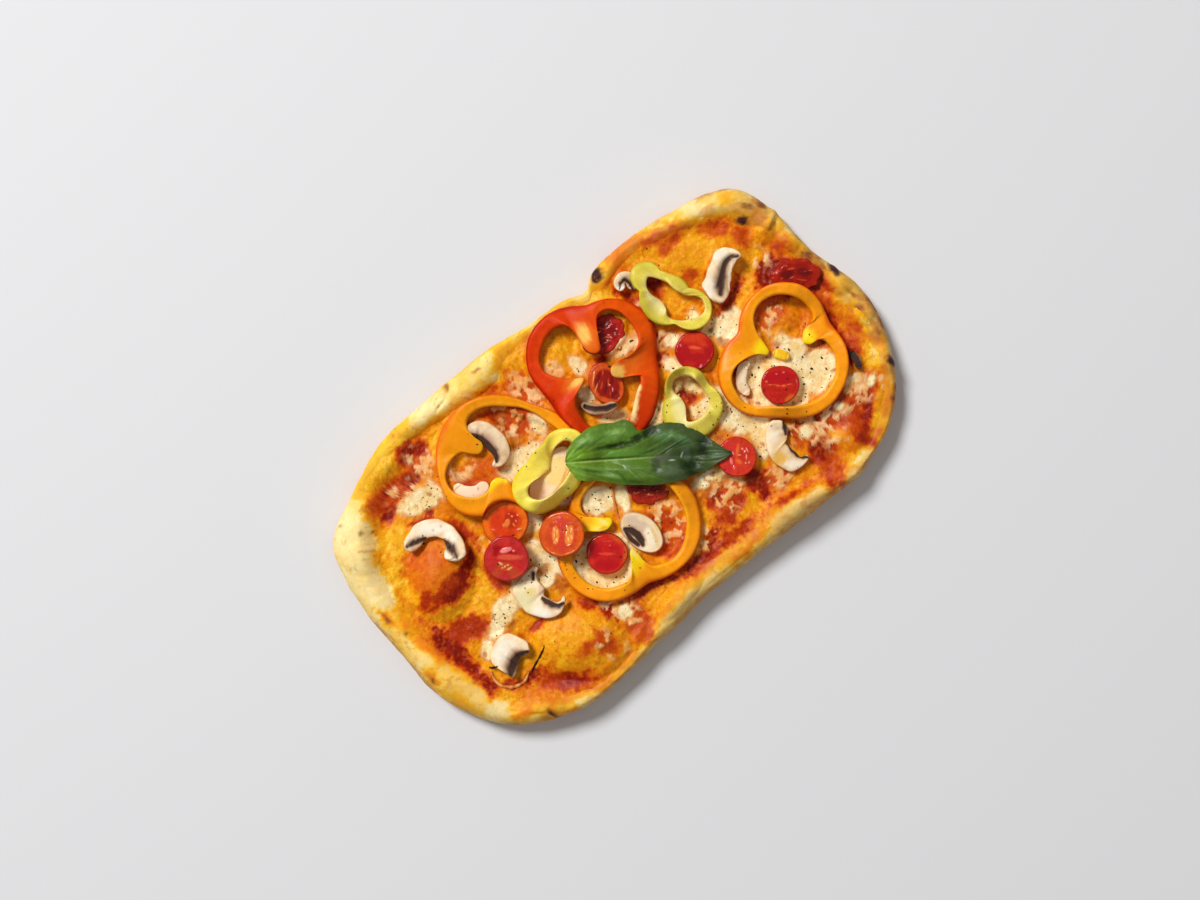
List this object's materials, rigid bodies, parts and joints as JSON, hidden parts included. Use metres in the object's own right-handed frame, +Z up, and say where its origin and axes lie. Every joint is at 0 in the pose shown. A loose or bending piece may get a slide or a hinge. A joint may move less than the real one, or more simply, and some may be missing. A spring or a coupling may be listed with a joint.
{
  "type": "pinsa",
  "caption": "Oval baked flatbread with a raised rim, melted cheese over tomato sauce, pepper and chilli rings, tomato and mushroom slices and a basil leaf.",
  "frame": {"origin": "centre of the footprint on the underside, z = 0 at the underside", "axes": "+X along the long axis, +Y across, +Z up out of the topping"},
  "size_m": [0.3198, 0.185, 0.0301],
  "materials": {
    "baked_dough": "dry baked crust, pale cream to golden, with dark char spots",
    "melted_topping": "melted cheese, white to browned orange, over red sauce, oily sheen",
    "pepper_orange": "glossy roasted pepper flesh, orange",
    "pepper_red": "glossy roasted pepper flesh, red-orange",
    "chilli_green": "glossy yellow-green chilli pepper flesh",
    "chilli_yellow": "glossy yellow pepper flesh",
    "tomato": "wet red tomato slice with paler seeds",
    "mushroom": "pale baked mushroom flesh with dark brown gills",
    "basil": "fresh green leaf with a soft sheen"
  },
  "bodies": {
    "root": {"dough": "baked_dough", "melted_topping": "melted_topping", "pepper_orange_left": "pepper_orange", "pepper_orange_right": "pepper_orange", "pepper_orange_front": "pepper_orange", "pepper_red": "pepper_red", "chilli_green_top": "chilli_green", "chilli_green_middle": "chilli_green", "chilli_yellow_left": "chilli_yellow", "pepper_bit": "chilli_yellow", "basil_leaf": "basil", "tomato_1": "tomato", "tomato_2": "tomato", "tomato_3": "tomato", "tomato_4": "tomato", "tomato_5": "tomato", "tomato_6": "tomato", "tomato_7": "tomato", "tomato_8": "tomato", "tomato_9": "tomato", "tomato_10": "tomato", "tomato_11": "tomato", "mushroom_1": "mushroom", "mushroom_2": "mushroom", "mushroom_3": "mushroom", "mushroom_4": "mushroom", "mushroom_5": "mushroom", "mushroom_6": "mushroom", "mushroom_7": "mushroom", "mushroom_8": "mushroom", "mushroom_9": "mushroom", "mushroom_10": "mushroom", "mushroom_11": "mushroom", "mushroom_12": "mushroom", "mushroom_13": "mushroom"}
  },
  "joints": []
}
